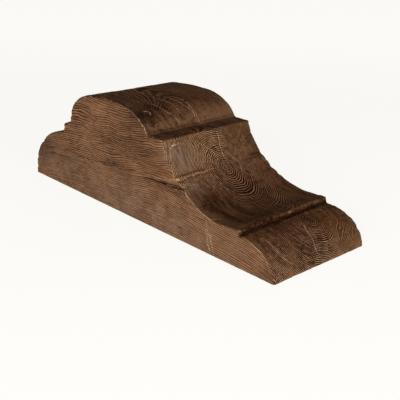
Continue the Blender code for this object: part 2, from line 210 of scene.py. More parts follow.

# Soft places painted darker, paler, warmer, grey, fresh or bright: most where the stain lies heavy, has rubbed thin, or
# is warm, some painted shade or sheen as marked. reach is along, across and up.
patches = [
    {"kind": "dark", "amount": 0.95, "at": (0.2168, 0.0085, 0.1085), "reach": (0.0095, 0.0095, 0.010)},
    {"kind": "dark", "amount": 0.60, "at": (0.2080, 0.022, 0.112), "reach": (0.0140, 0.0240, 0.010)},
    # a darker band across the ledge
    {"kind": "dark", "amount": 0.35, "at": (0.2430, 0.060, 0.0925), "reach": (0.0090, 0.2000, 0.003)},
    {"kind": "dark", "amount": 0.35, "at": (0.3970, 0.055, 0.012), "reach": (0.0100, 0.1000, 0.014)},
    {"kind": "pale", "amount": 0.70, "at": (0.2280, 0.098, 0.100), "reach": (0.0150, 0.0300, 0.013)},
    {"kind": "ochre", "amount": 0.30, "at": (0.1750, 0.090, 0.118), "reach": (0.0200, 0.0160, 0.010)},
    # painted sheen: the grey patches in the hollow stand for a greyish sheen
    {"kind": "grey", "amount": 0.95, "at": (0.2625, 0.0160, 0.0780), "reach": (0.0090, 0.0140, 0.0100)},
    {"kind": "grey", "amount": 0.60, "at": (0.2690, 0.0210, 0.0680), "reach": (0.0070, 0.0130, 0.0070)},
    {"kind": "grey", "amount": 0.30, "at": (0.2870, 0.012, 0.051), "reach": (0.0080, 0.0110, 0.009)},
    # scrubbed grey wear low on the near side
    {"kind": "grey", "amount": 0.45, "at": (0.2200, 0.000, 0.014), "reach": (0.1200, 0.0050, 0.024)},
    {"kind": "grey", "amount": 0.35, "at": (0.0500, 0.000, 0.030), "reach": (0.0500, 0.0050, 0.020)},
    # darker down the hollow's low trough before the fillet
    {"kind": "dark", "amount": 0.26, "at": (0.3400, 0.020, 0.0345), "reach": (0.0120, 0.0100, 0.008)},
    {"kind": "dark", "amount": 0.50, "at": (0.2980, 0.024, 0.043), "reach": (0.0190, 0.0060, 0.014)},
    {"kind": "dark", "amount": 0.40, "at": (0.3240, 0.017, 0.035), "reach": (0.0240, 0.0060, 0.010)},
    {"kind": "dark", "amount": 0.45, "at": (0.3150, 0.036, 0.036), "reach": (0.0300, 0.0050, 0.010)},
    {"kind": "dark", "amount": 0.35, "at": (0.3150, 0.065, 0.038), "reach": (0.0200, 0.0220, 0.012)},
    {"kind": "dark", "amount": 0.40, "at": (0.3420, 0.060, 0.0345), "reach": (0.0120, 0.0350, 0.008)},
    {"kind": "dark", "amount": 0.30, "at": (0.2690, 0.078, 0.068), "reach": (0.0080, 0.0060, 0.012)},
    {"kind": "dark", "amount": 0.55, "at": (0.3720, 0.078, 0.029), "reach": (0.0060, 0.0100, 0.006)},
    {"kind": "dark", "amount": 0.35, "at": (0.3650, 0.045, 0.030), "reach": (0.0090, 0.0330, 0.008)},
    {"kind": "pale", "amount": 0.60, "at": (0.3770, 0.079, 0.028), "reach": (0.0010, 0.0010, 0.002)},
    {"kind": "ochre", "amount": 0.35, "at": (0.3900, 0.100, 0.018), "reach": (0.0140, 0.0220, 0.016)},
    {"kind": "ochre", "amount": 0.50, "at": (0.4010, 0.102, 0.006), "reach": (0.0060, 0.0260, 0.008)},
    {"kind": "fresh", "amount": 1.00, "at": (0.3563, 0.060, 0.0342), "reach": (0.0013, 0.1500, 0.0012)},
    # painted shadow: a black band under the fillet's face
    {"kind": "dark", "amount": 0.95, "at": (0.3585, 0.060, 0.0308), "reach": (0.0019, 0.1500, 0.0018)},
    {"kind": "fresh", "amount": 0.95, "at": (0.3572, 0.060, 0.0325), "reach": (0.0019, 0.1500, 0.0019)},
    {"kind": "bright", "amount": 0.65, "at": (0.3566, 0.001, 0.0330), "reach": (0.0014, 0.0022, 0.0013)},
    {"kind": "bright", "amount": 0.35, "at": (0.3566, 0.067, 0.0342), "reach": (0.0010, 0.0030, 0.0010)},
    {"kind": "bright", "amount": 0.95, "at": (0.2750, 0.001, 0.0592), "reach": (0.0022, 0.0026, 0.0010)},
    {"kind": "bright", "amount": 0.60, "at": (0.2690, 0.000, 0.0580), "reach": (0.0040, 0.0020, 0.0006)},
    {"kind": "bright", "amount": 0.60, "at": (0.2800, 0.004, 0.0556), "reach": (0.0016, 0.0036, 0.0006)},
    {"kind": "pale", "amount": 0.35, "at": (0.3572, 0.002, 0.0340), "reach": (0.0020, 0.0030, 0.0020)},
    # painted shade in the notch under the fillet's near end
    {"kind": "dark", "amount": 0.90, "at": (0.3600, 0.004, 0.0320), "reach": (0.0030, 0.0040, 0.0030)},
    {"kind": "dark", "amount": 0.55, "at": (0.0180, 0.000, 0.036), "reach": (0.0260, 0.0060, 0.016)},
    {"kind": "ochre", "amount": 0.20, "at": (0.2290, 0.104, 0.098), "reach": (0.0080, 0.0300, 0.010)},
    {"kind": "ochre", "amount": 0.40, "at": (0.2540, 0.105, 0.090), "reach": (0.0060, 0.0200, 0.008)},
    {"kind": "dark", "amount": 0.30, "at": (0.1900, 0.000, 0.075), "reach": (0.0500, 0.0060, 0.012)},
    {"kind": "ochre", "amount": 0.60, "at": (0.0130, 0.000, 0.010), "reach": (0.0060, 0.0040, 0.005)},
    {"kind": "dark", "amount": 0.40, "at": (0.1750, 0.000, 0.049), "reach": (0.0300, 0.0050, 0.006)},
    {"kind": "dark", "amount": 0.25, "at": (0.0700, 0.000, 0.036), "reach": (0.0300, 0.0050, 0.005)},
    {"kind": "dark", "amount": 0.30, "at": (0.2150, 0.000, 0.088), "reach": (0.0240, 0.0050, 0.020)},
    # painted shadow below the check on the near side
    {"kind": "dark", "amount": 0.40, "at": (0.2600, 0.000, 0.048), "reach": (0.0220, 0.0050, 0.004)},
    {"kind": "ochre", "amount": 0.35, "at": (0.2690, 0.000, 0.059), "reach": (0.0110, 0.0050, 0.0030)},
    {"kind": "pale", "amount": 0.25, "at": (0.3500, 0.000, 0.018), "reach": (0.0500, 0.0060, 0.024)},
    {"kind": "pale", "amount": 0.40, "at": (0.3570, 0.000, 0.022), "reach": (0.0090, 0.0050, 0.006)},
    {"kind": "pale", "amount": 0.35, "at": (0.1190, 0.000, 0.021), "reach": (0.0012, 0.0040, 0.009)},
]

# Arrises that are rubbed hardest, as the patches are given
rubbed = [
    {"amount": 1.0, "at": (0.2700, 0.000, 0.070), "reach": (0.0260, 0.0060, 0.030)},
    {"amount": 1.0, "at": (0.3150, 0.000, 0.038), "reach": (0.0420, 0.0060, 0.014)},
    {"amount": 0.8, "at": (0.2150, 0.000, 0.107), "reach": (0.0240, 0.0060, 0.014)},
    {"amount": 0.9, "at": (0.3800, 0.000, 0.024), "reach": (0.0250, 0.0060, 0.020)},
    {"amount": 0.7, "at": (0.2540, 0.060, 0.092), "reach": (0.0050, 0.0900, 0.005)},
]

# Arrises that are chewed hardest: heel, tread, the roll's back, the far side, the fillet
chewed = [
    {"amount": 1.0, "at": (0.0300, 0.060, 0.040), "reach": (0.0650, 0.1200, 0.040)},
    {"amount": 1.0, "at": (0.0800, 0.060, 0.075), "reach": (0.0250, 0.1200, 0.022)},
    {"amount": 0.8, "at": (0.2700, 0.120, 0.070), "reach": (0.0500, 0.0100, 0.050)},
    {"amount": 0.8, "at": (0.3800, 0.120, 0.020), "reach": (0.0300, 0.0100, 0.030)},
    {"amount": 0.5, "at": (0.3560, 0.060, 0.034), "reach": (0.0060, 0.1200, 0.005)},
]

# Torn wood
torn = [
    {"amount": 0.4, "at": (0.3575, 0.060, 0.033), "reach": (0.0026, 0.1500, 0.0030)},
    {"amount": 0.8, "at": (0.2760, 0.004, 0.0590), "reach": (0.0060, 0.0060, 0.0030)},
    {"amount": 0.5, "at": (0.2760, 0.020, 0.0605), "reach": (0.0030, 0.0260, 0.0022)},
]

# Where the rings stand clear and dark
bold = [
    {"amount": 0.9, "at": (0.2850, 0.062, 0.0520), "reach": (0.0200, 0.0150, 0.022)},
    {"amount": 1.0, "at": (0.3110, 0.062, 0.0400), "reach": (0.0250, 0.0190, 0.014)},
    {"amount": 1.0, "at": (0.3740, 0.074, 0.0290), "reach": (0.0080, 0.0170, 0.008)},
    {"amount": 0.8, "at": (0.3800, 0.040, 0.0240), "reach": (0.0220, 0.0330, 0.018)},
    {"amount": 0.9, "at": (0.2000, 0.060, 0.1140), "reach": (0.0260, 0.0200, 0.012)},
    {"amount": 1.0, "at": (0.3350, 0.000, 0.0160), "reach": (0.0600, 0.0040, 0.0200)},
]

# Where the rings show less
calm = [
    {"amount": 0.80, "at": (0.2290, 0.030, 0.098), "reach": (0.0100, 0.0500, 0.012)},
    {"amount": 0.90, "at": (0.2170, 0.012, 0.108), "reach": (0.0120, 0.0160, 0.010)},
    {"amount": 0.45, "at": (0.1800, 0.060, 0.116), "reach": (0.0600, 0.0900, 0.030)},
    {"amount": 0.50, "at": (0.2570, 0.045, 0.088), "reach": (0.0090, 0.0500, 0.014)},
    {"amount": 0.60, "at": (0.2600, 0.095, 0.085), "reach": (0.0160, 0.0200, 0.024)},
    {"amount": 0.90, "at": (0.3150, 0.018, 0.037), "reach": (0.0400, 0.0240, 0.018)},
    {"amount": 0.80, "at": (0.2650, 0.116, 0.070), "reach": (0.0500, 0.0330, 0.045)},
    {"amount": 0.75, "at": (0.3300, 0.118, 0.035), "reach": (0.0300, 0.0330, 0.020)},
    {"amount": 0.60, "at": (0.3470, 0.062, 0.034), "reach": (0.0100, 0.0400, 0.008)},
    {"amount": 0.65, "at": (0.2650, 0.016, 0.075), "reach": (0.0130, 0.0150, 0.015)},
    {"amount": 0.80, "at": (0.3150, 0.008, 0.040), "reach": (0.0320, 0.0260, 0.020)},
    {"amount": 0.70, "at": (0.2200, 0.075, 0.108), "reach": (0.0230, 0.0500, 0.020)},
    {"amount": 0.55, "at": (0.3850, 0.112, 0.020), "reach": (0.0250, 0.0280, 0.025)},
    {"amount": 0.95, "at": (0.3575, 0.060, 0.033), "reach": (0.0028, 0.1200, 0.004)},
]

# The grain flows round these: push widens the rings' radius, lift parts the fibres
knots = [
    {"at": (0.2170, 0.010, 0.107), "reach": (0.0080, 0.0085, 0.012), "push": 0.0050, "lift": 0.0010},
    {"at": (0.3880, 0.092, 0.022), "reach": (0.0090, 0.0075, 0.012), "push": 0.0060, "lift": 0.0},
    {"at": (0.1700, 0.000, 0.049), "reach": (0.0200, 0.0160, 0.012), "push": 0.0, "lift": 0.0022},
    {"at": (0.0500, 0.000, 0.047), "reach": (0.0200, 0.0100, 0.007), "push": 0.0, "lift": 0.0018},
]


def smoothStep(low, high, value):
    share = np.clip((value - low) / (high - low), 0.0, 1.0)
    return share * share * (3.0 - 2.0 * share)


def latticeNoise(points, seed):
    # value noise on a unit lattice, between -1 and 1
    cell = np.floor(points)
    part = points - cell
    part = part * part * part * (part * (part * 6.0 - 15.0) + 10.0)
    cell = cell.astype(np.int64)
    total = np.zeros(len(points))
    for dx in (0, 1):
        for dy in (0, 1):
            for dz in (0, 1):
                mixed = ((cell[:, 0] + dx) * 73856093) ^ ((cell[:, 1] + dy) * 19349663)
                mixed = (mixed ^ ((cell[:, 2] + dz) * 83492791) ^ (seed * 2654435761)) & 0xFFFFFFFF
                mixed = ((mixed ^ (mixed >> 15)) * 2246822519) & 0xFFFFFFFF
                mixed = ((mixed ^ (mixed >> 13)) * 3266489917) & 0xFFFFFFFF
                value = ((mixed ^ (mixed >> 16)) & 0xFFFFFF) / float(0x7FFFFF) - 1.0
                weight = (part[:, 0] if dx else 1.0 - part[:, 0])
                weight = weight * (part[:, 1] if dy else 1.0 - part[:, 1])
                weight = weight * (part[:, 2] if dz else 1.0 - part[:, 2])
                total += weight * value
    return total


def layeredNoise(points, seed, layers):
    total = np.zeros(len(points))
    share = 1.0
    for layer in range(layers):
        total += share * latticeNoise(points * 2.0 ** layer, seed + layer)
        share *= 0.5
    return total


def eased(along, path, easing):
    # a path's height with its corners eased
    path = np.array(path)
    steps = np.linspace(-1.0, 1.0, 7) * easing
    return sum(np.interp(along + step, path[:, 0], path[:, 1]) for step in steps) / len(steps)


def uneven(depths, seed):
    # rings and lines of uneven width
    points = np.zeros((len(depths), 3))
    points[:, 0] = depths / tree["unevenSize"]
    return depths + tree["uneven"] * latticeNoise(points, seed)


def grainFields(places):
    # places are from the block's corner. Returns the ring radius, the grain's own space and its place about the rings' pith.
    along, across, up = places.T
    drift = tree["drift"] * latticeNoise(places / tree["driftSize"], 3)
    toe = smoothStep(*tree["fillet"], along)
    toeAlong, toeUp, toeSlope = tree["toePith"]
    ringPith = eased(along, tree["ringPath"], tree["ringEasing"]) * (1.0 - toe)
    ringPith = ringPith + (toeUp + toeSlope * (along - toeAlong)) * toe
    behind, front = tree["pithAcross"]
    aside = across - behind - (front - behind) * toe + drift * 0.5
    rise = up - ringPith
    fibreRise = up - eased(along, tree["pithPath"], tree["pithEasing"]) + drift
    push = np.zeros(len(places))
    for knot in knots:
        away = (places - np.array(knot["at"])) / np.array(knot["reach"])
        near = np.exp(-(away ** 2).sum(1))
        push += knot["push"] * near
        fibreRise = fibreRise + knot["lift"] * near * np.sign(away[:, 2]) * smoothStep(0.0, 0.3, abs(away[:, 2]))
    radius = np.hypot(aside, rise)
    turn = np.stack([aside / (radius + 1e-4), rise / (radius + 1e-4), along / 0.07], 1)
    radius = radius * (1.0 + tree["oval"] * latticeNoise(turn * 1.3, 5)) + push
    radius = radius + tree["sway"] * latticeNoise(places / tree["swaySize"], 7) * smoothStep(0.0, 0.01, radius)
    return uneven(radius, 11), np.stack([along, aside, fibreRise], 1), np.stack([aside, rise], 1)


def ringProfile(radius, places, pitch, narrowing):
    # one tooth for each ring: a slow rise to the late wood, then a quick fall
    wobbly = radius + tree["ripple"] * latticeNoise(places / tree["rippleSize"], 9)
    count = wobbly / pitch * (1.0 + narrowing * wobbly)
    share = count - np.floor(count)
    return 0.5 - 0.5 * np.cos(2.0 * math.pi * share ** 0.75)


def lineHeights(places, grain):
    # the height whose level lines are the grain lines on the block's sides
    low, high = tree["curlFrom"]
    curly = smoothStep(low, high, places[:, 2])
    curl = tree["curl"] * latticeNoise(places / np.array(tree["curlSize"]), 81)
    waver = tree["waver"] * latticeNoise(places / np.array(tree["waverSize"]), 83)
    away = (places[:, (0, 2)] - np.array(tree["swell"])) / np.array(tree["swellReach"])
    swelling = tree["swellRise"] * np.exp(-(away ** 2).sum(1))
    return uneven(grain[:, 2] - swelling + curl * (0.12 + 0.88 * curly) + waver * (0.2 + 0.8 * curly), 13)


def rayNoise(radius, about, along):
    # thin rays out of the pith
    around = about / (radius[:, None] + 1e-4)
    return latticeNoise(np.column_stack([around * 24.0, radius / 0.006 + along / 0.009]), 61)


def smoothPath(points, steps=8):
    # a Catmull-Rom curve through the points
    points = np.array(points, float)
    padded = np.vstack([2 * points[0] - points[1], points, 2 * points[-1] - points[-2]])
    curve = [points[:1]]
    for k in range(1, len(padded) - 2):
        before, start, end, after = padded[k - 1:k + 3]
        share = (np.arange(steps)[:, None] + 1.0) / steps
        curve.append(0.5 * (2 * start + (end - before) * share
                            + (2 * before - 5 * start + 4 * end - after) * share ** 2
                            + (3 * start - before - 3 * end + after) * share ** 3))
    return np.vstack(curve)


def ontoWood(line, places, normals):
    # the line's flat places put on the block: the nearest vertex of that face
    if line["on"] == "top":
        flat, face = (0, 1), np.flatnonzero(normals[:, 2] > 0.15)
    elif line["on"] == "front":
        flat, face = (1, 2), np.flatnonzero((normals[:, 0] > 0.3) & (places[:, 0] > 0.24))
    else:
        flat, face = (0, 2), np.flatnonzero((normals[:, 1] < -0.7) & (places[:, 1] < 0.004))
    shown = places[face][:, flat]
    return np.array([places[face[np.argmin(((shown - np.array(spot)) ** 2).sum(1))]] for spot in line["path"]])


def lineField(path, places, normals):
    # signed distance from the line, and how far a place counts as beside it, for the vertices around it
    reach = 0.004
    near = np.flatnonzero((places > path.min(0) - reach).all(1) & (places < path.max(0) + reach).all(1))
    out = normals[near]
    best = np.full(len(near), reach * 2.0)
    signed = np.full(len(near), reach * 2.0)
    passed = np.zeros(len(near))
    for k, (start, end) in enumerate(zip(path, path[1:])):
        run = end - start
        away = places[near] - start
        share = np.clip((away @ run) / (run @ run), 0.0, 1.0)
        gap = away - share[:, None] * run
        off = (gap * out).sum(1)
        flat = np.linalg.norm(gap - off[:, None] * out, axis=1) + np.maximum(abs(off) - 0.0025, 0.0)
        closer = flat < best
        best = np.where(closer, flat, best)
        side = np.sign((np.cross(run, away) * out).sum(1))
        signed = np.where(closer, flat * np.where(side == 0, 1.0, side), signed)
        passed = np.where(closer, (k + share) / (len(path) - 1), passed)
    ends = smoothStep(0.0, 0.10, passed) * smoothStep(1.0, 0.90, passed)
    return near, signed, np.clip(1.0 - best / reach, 0.0, 1.0) * (0.25 + 0.75 * ends)


def patchField(patch, places, warp):
    steady = min(1.0, min(patch["reach"]) / 0.008)
    away = (places + warp * steady - np.array(patch["at"])) / np.array(patch["reach"])
    return patch["amount"] * np.exp(-(away ** 2).sum(1) ** 1.5 * 0.7)


def blended(group, places, warp):
    left = np.ones(len(places))
    for patch in group:
        left *= 1.0 - patchField(patch, places, warp)
    return 1.0 - left


def activeOnly(piece):
    bpy.ops.object.select_all(action="DESELECT")
    piece.select_set(True)
    bpy.context.view_layer.objects.active = piece


def addModifier(piece, kind, **settings):
    modifier = piece.modifiers.new(kind.title(), kind)
    for name, value in settings.items():
        setattr(modifier, name, value)
    activeOnly(piece)
    bpy.ops.object.modifier_apply(modifier=modifier.name)


def copyOfSolid(nodeName, name):
    piece = bpy.data.objects.new(name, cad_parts[nodeName].data.copy())
    bpy.context.scene.collection.objects.link(piece)
    piece.data.materials.clear()
    activeOnly(piece)
    bpy.ops.object.mode_set(mode="EDIT")
    bpy.ops.mesh.select_all(action="SELECT")
    bpy.ops.mesh.remove_doubles(threshold=1e-6)
    bpy.ops.mesh.normals_make_consistent(inside=False)
    bpy.ops.object.mode_set(mode="OBJECT")
    return piece


def readMesh(mesh):
    places = np.zeros(len(mesh.vertices) * 3)
    mesh.vertices.foreach_get("co", places)
    normals = np.zeros(len(mesh.vertices) * 3)
    mesh.vertices.foreach_get("normal", normals)
    ends = np.zeros(len(mesh.edges) * 2, np.int32)
    mesh.edges.foreach_get("vertices", ends)
    return places.reshape(-1, 3), normals.reshape(-1, 3), ends.reshape(-1, 2)


def spread(values, ends, rounds):
    # averages a value with its neighbours along the edges
    number = len(values)
    first, second = ends.T
    degree = np.bincount(first, minlength=number) + np.bincount(second, minlength=number)
    for _ in range(rounds):
        total = np.bincount(first, values[second], number) + np.bincount(second, values[first], number)
        values = 0.5 * values + 0.5 * total / np.maximum(degree, 1)
    return values


def pointedness(places, normals, ends, rounds):
    # how far each vertex stands out of the smoothed surface: above 0 on an arris, below 0 in a corner
    soft = np.stack([spread(places[:, k], ends, rounds) for k in range(3)], 1)
    return ((places - soft) * normals).sum(1)


def storeField(mesh, name, values):
    if name in mesh.attributes:
        mesh.attributes.remove(mesh.attributes[name])
    if values.ndim == 2:
        field = mesh.attributes.new(name, "FLOAT_VECTOR", "POINT")
        field.data.foreach_set("vector", np.ascontiguousarray(values, np.float32).ravel())
    else:
        field = mesh.attributes.new(name, "FLOAT", "POINT")
        field.data.foreach_set("value", np.ascontiguousarray(values, np.float32))


def carve(piece):
    # moves each vertex along its normal by the rings, the fibres, the tool marks and the wear
    mesh = piece.data
    places, normals, ends = readMesh(mesh)
    places -= np.array(corner)
    radius, grain, about = grainFields(places)
    along, across, up = places.T

    slope = np.column_stack([np.zeros(len(radius)), about]) / (np.linalg.norm(about, axis=1)[:, None] + 1e-5)
    cutAcross = np.linalg.norm(slope - (slope * normals).sum(1)[:, None] * normals, axis=1)
    endGrain = smoothStep(0.15, 0.75, abs(normals[:, 0]) + 0.25 * cutAcross)
    seat = smoothStep(0.9, 0.99, -normals[:, 2])
    sideFace = spread(smoothStep(0.6, 0.95, abs(normals[:, 1])), ends, 1)
    lineHeight = lineHeights(places, grain)

    broad = pointedness(places, normals, ends, 14)
    arris = spread(np.clip(broad / relief["nookFall"], 0.0, 1.0), ends, 2)
    # how far a vertex lies in a corner or crease, for the painted shade there
    paintedCreaseShade = spread(np.clip(-broad / relief["nookFall"], 0.0, 1.0), ends, 4)
    start, full = relief["arrisRise"]
    wear = smoothStep(start, full, broad)
    warp = np.column_stack([latticeNoise(places / 0.008, seed) for seed in (71, 72, 73)]) * 0.0035
    fray = np.column_stack([layeredNoise(places / relief["fraySize"], seed, 2) for seed in (75, 76, 77)])
    fray *= relief["fray"]
    calmed = 1.0 - blended(calm, places, warp)
    boldness = blended(bold, places, warp)

    depth = relief["hand"] * layeredNoise(places / relief["handSize"], 21, 2) * (1.0 - seat)
    strength = 0.75 + 0.5 * latticeNoise(places / 0.014, 31)
    ringShare = (0.6 + 0.4 * endGrain) * (1.0 - sideFace) * calmed * (1.0 - seat)
    sideLines = ringProfile(lineHeight, places, tree["linePitch"], 0.0) - 0.5
    depth += relief["sideLine"] * sideLines * sideFace * strength
    rings = ringProfile(radius, places, tree["ringPitch"], tree["narrowing"]) - 0.5
    depth += relief["ring"] * rings * ringShare * strength
    depth += relief["ray"] * rayNoise(radius, about, along) * ringShare
    depth += relief["fibre"] * latticeNoise(grain / np.array(relief["fibreSize"]), 41) * (1.0 - 0.7 * endGrain)
    depth += relief["fineFibre"] * latticeNoise(grain / np.array(relief["fineFibreSize"]), 43)
    bites = np.clip(layeredNoise(places / relief["chewSize"], 51, 2) * 0.8 + 0.05, 0.0, 1.0)
    hard = np.maximum(relief["calmChew"], blended(chewed, places, warp))
    depth -= relief["chew"] * bites * arris * hard * (1.0 - seat)
    depth += relief["rough"] * layeredNoise(places / relief["roughSize"], 91, 3) * blended(torn, places, warp)

    fields = {}
    for kind in ("pale", "chalky", "ochre", "dark"):
        for number in (1, 2):
            fields[kind, number] = np.tile((0.008, 0.0, 0.0), (len(places), 1))
    for line in lines:
        path = smoothPath(ontoWood(line, places, normals))
        near, signed, beside = lineField(path, places + fray * line["fray"], normals)
        field = fields[line["kind"], line["set"]]
        better = beside > field[near, 1]
        field[near[better]] = np.column_stack([signed / line["width"] * 0.001, beside, signed * 0.0])[better]
        depth[near] += line["lift"] * np.exp(-(signed / line["width"]) ** 2) * np.minimum(beside * 1.5, 1.0)
    depth *= 1.0 - 0.85 * smoothStep(0.003, 0.0, up)

    stains = {kind: blended([patch for patch in patches if patch["kind"] == kind], places, warp)
              for kind in ("pale", "ochre", "dark", "grey", "fresh", "bright")}
    rub = np.maximum(0.2, blended(rubbed, places, warp))

    places += normals * depth[:, None]
    low = places[:, 2] < block["seatHeight"]
    places[low, 2] = 0.0
    mesh.vertices.foreach_set("co", (places + np.array(corner)).ravel())
    mesh.update()
    storeField(mesh, "wear", wear * rub)
    storeField(mesh, "paintedCreaseShade", paintedCreaseShade)
    storeField(mesh, "ringRadius", radius)
    storeField(mesh, "grainSpace", np.column_stack([grain[:, :2], grain[:, 2] + (lineHeight - grain[:, 2]) * sideFace]))
    storeField(mesh, "lineHeight", lineHeight)
    storeField(mesh, "sideFace", sideFace)
    storeField(mesh, "endGrain", ringShare)
    storeField(mesh, "boldness", boldness)
    storeField(mesh, "upward", np.clip(normals[:, 2], -1.0, 1.0))
    for kind, field in stains.items():
        storeField(mesh, kind + "Stain", field)
    for (kind, number), field in fields.items():
        storeField(mesh, kind + "Line" + str(number), field)
    storeField(mesh, "about", np.column_stack([along, about]))
    print("carved:", len(places), "vertices")


def thinOut(piece):
    faces = len(piece.data.polygons) * 2
    addModifier(piece, "DECIMATE", ratio=min(1.0, block["triangles"] / faces), use_collapse_triangulate=True)
    print("thinned to", len(piece.data.polygons), "triangles")


def newGroup(name, inputs, outputs):
    # inputs and outputs are (name, kind, value) with kind Float, Vector or Color
    group = bpy.data.node_groups.new(name, "ShaderNodeTree")
    for title, kind, value in inputs:
        socket = group.interface.new_socket(title, in_out="INPUT", socket_type="NodeSocket" + kind)
        socket.default_value = value
    for title, kind in outputs:
        group.interface.new_socket(title, in_out="OUTPUT", socket_type="NodeSocket" + kind)
    return group, group.nodes.new("NodeGroupInput").outputs, group.nodes.new("NodeGroupOutput").inputs


def feed(nodes, socket, value):
    # links a socket to another one, or sets it
    if isinstance(value, bpy.types.NodeSocket):
        nodes.id_data.links.new(value, socket)
    else:
        socket.default_value = value


def math2(nodes, operation, first, second=0.0, third=0.0, clamp=False):
    node = nodes.new("ShaderNodeMath")
    node.operation = operation
    node.use_clamp = clamp
    for socket, value in zip(node.inputs, (first, second, third)):
        feed(nodes, socket, value)
    return node.outputs[0]


def vector2(nodes, operation, first, second=(0.0, 0.0, 0.0)):
    node = nodes.new("ShaderNodeVectorMath")
    node.operation = operation
    feed(nodes, node.inputs[0], first)
    feed(nodes, node.inputs[1], second)
    return node.outputs["Value" if operation in ("DOT_PRODUCT", "LENGTH", "DISTANCE") else "Vector"]


def rampBetween(nodes, value, low, high, lowOut=0.0, highOut=1.0):
    node = nodes.new("ShaderNodeMapRange")
    node.interpolation_type = "SMOOTHSTEP"
    for socket, item in zip(node.inputs, (value, low, high, lowOut, highOut)):
        feed(nodes, socket, item)
    return node.outputs["Result"]


def noiseOf(nodes, vector, scale, detail=3.0, roughness=0.5, distortion=0.0):
    node = nodes.new("ShaderNodeTexNoise")
    feed(nodes, node.inputs["Vector"], vector)
    node.inputs["Scale"].default_value = scale
    node.inputs["Detail"].default_value = detail
    node.inputs["Roughness"].default_value = roughness
    node.inputs["Distortion"].default_value = distortion
    return node.outputs["Fac"]


def mixColour(nodes, share, first, second, kind="MIX"):
    node = nodes.new("ShaderNodeMix")
    node.data_type = "RGBA"
    node.blend_type = kind
    feed(nodes, node.inputs["Factor"], share)
    feed(nodes, node.inputs["A"], first)
    feed(nodes, node.inputs["B"], second)
    return node.outputs["Result"]


def mixValue(nodes, share, first, second):
    return math2(nodes, "MULTIPLY_ADD", math2(nodes, "SUBTRACT", second, first), share, first)


def scaled(nodes, vector, factors):
    return vector2(nodes, "MULTIPLY", vector, factors)


def growthRingsGroup():
    # Ridge is 1 on each ring's raised late wood, Show is how clearly the rings stand there, Own is a ring's own strength
    group, given, wanted = newGroup("growthRings", [
        ("Radius", "Float", 0.02), ("Places", "Vector", (0, 0, 0)), ("Stretch", "Vector", (1, 1, 1)),
        ("Pitch", "Float", tree["ringPitch"]), ("Ripple", "Float", tree["ripple"]),
        ("Narrowing", "Float", tree["narrowing"])],
        [("Ridge", "Float"), ("Show", "Float"), ("Own", "Float"), ("Ray", "Float")])
    nodes = group.nodes
    drawn = vector2(nodes, "MULTIPLY", given["Places"], given["Stretch"])
    fine = noiseOf(nodes, drawn, 330.0, 3.0, 0.55)
    ripple = math2(nodes, "MULTIPLY", math2(nodes, "SUBTRACT", fine, 0.5), math2(nodes, "MULTIPLY", given["Ripple"], 4.2))
    radius = math2(nodes, "ADD", given["Radius"], ripple)
    closer = math2(nodes, "MULTIPLY_ADD", radius, given["Narrowing"], 1.0)
    count = math2(nodes, "MULTIPLY", math2(nodes, "DIVIDE", radius, given["Pitch"]), closer)
    share = math2(nodes, "POWER", math2(nodes, "FRACT", count), 0.75)
    wave = math2(nodes, "COSINE", math2(nodes, "MULTIPLY", share, 2.0 * math.pi))
    feed(nodes, wanted["Ridge"], math2(nodes, "MULTIPLY_ADD", wave, -0.5, 0.5))
    feed(nodes, wanted["Show"], rampBetween(nodes, noiseOf(nodes, drawn, 210.0, 3.0, 0.6), 0.38, 0.60, 0.25, 1.0))
    single = nodes.new("ShaderNodeTexWhiteNoise")
    single.noise_dimensions = "1D"
    feed(nodes, single.inputs["W"], math2(nodes, "FLOOR", count))
    feed(nodes, wanted["Own"], math2(nodes, "MULTIPLY_ADD", single.outputs["Value"], 0.6, 0.7))
    across = scaled(nodes, given["Places"], (0.0, 1.0, 1.0))
    around = vector2(nodes, "NORMALIZE", across)
    ray = vector2(nodes, "ADD", scaled(nodes, around, (0.0, 30.0, 30.0)), scaled(nodes, given["Places"], (110.0, 60.0, 60.0)))
    feed(nodes, wanted["Ray"], noiseOf(nodes, ray, 1.0, 2.0, 0.6))
    return group


def woodFibreGroup():
    # Streak is broad light and dark along the grain, Hair is the fine fibre, Pore is the dark short dashes,
    # Brush is scrubbing down the carved faces
    group, given, wanted = newGroup("woodFibre", [("Grain", "Vector", (0, 0, 0))],
                                    [("Streak", "Float"), ("Hair", "Float"), ("Pore", "Float"), ("Brush", "Float")])
    nodes = group.nodes
    feed(nodes, wanted["Streak"], noiseOf(nodes, scaled(nodes, given["Grain"], (0.03, 1.0, 1.0)), 200.0, 3.0, 0.65))
    feed(nodes, wanted["Hair"], noiseOf(nodes, scaled(nodes, given["Grain"], (0.05, 1.0, 1.0)), 950.0, 2.0, 0.6))
    dash = noiseOf(nodes, scaled(nodes, given["Grain"], (0.14, 1.0, 1.0)), 1000.0, 2.0, 0.5, 0.2)
    feed(nodes, wanted["Pore"], rampBetween(nodes, dash, 0.52, 0.62))
    places = nodes.new("ShaderNodeTexCoord").outputs["Object"]
    feed(nodes, wanted["Brush"], noiseOf(nodes, scaled(nodes, places, (0.12, 1.0, 0.12)), 520.0, 3.0, 0.65))
    return group


def edgeWearGroup():
    # breaks a smooth edge mask up with noise
    group, given, wanted = newGroup("edgeWear", [("Edge", "Float", 0.0), ("Amount", "Float", 1.0)], [("Mask", "Float")])
    nodes = group.nodes
    places = nodes.new("ShaderNodeTexCoord").outputs["Object"]
    broken = noiseOf(nodes, places, 320.0, 3.0, 0.6)
    edge = math2(nodes, "ADD", given["Edge"], math2(nodes, "MULTIPLY", math2(nodes, "SUBTRACT", broken, 0.5), 0.8))
    mask = rampBetween(nodes, edge, 0.22, 0.62)
    feed(nodes, wanted["Mask"], math2(nodes, "MULTIPLY", mask, given["Amount"], clamp=True))
    return group


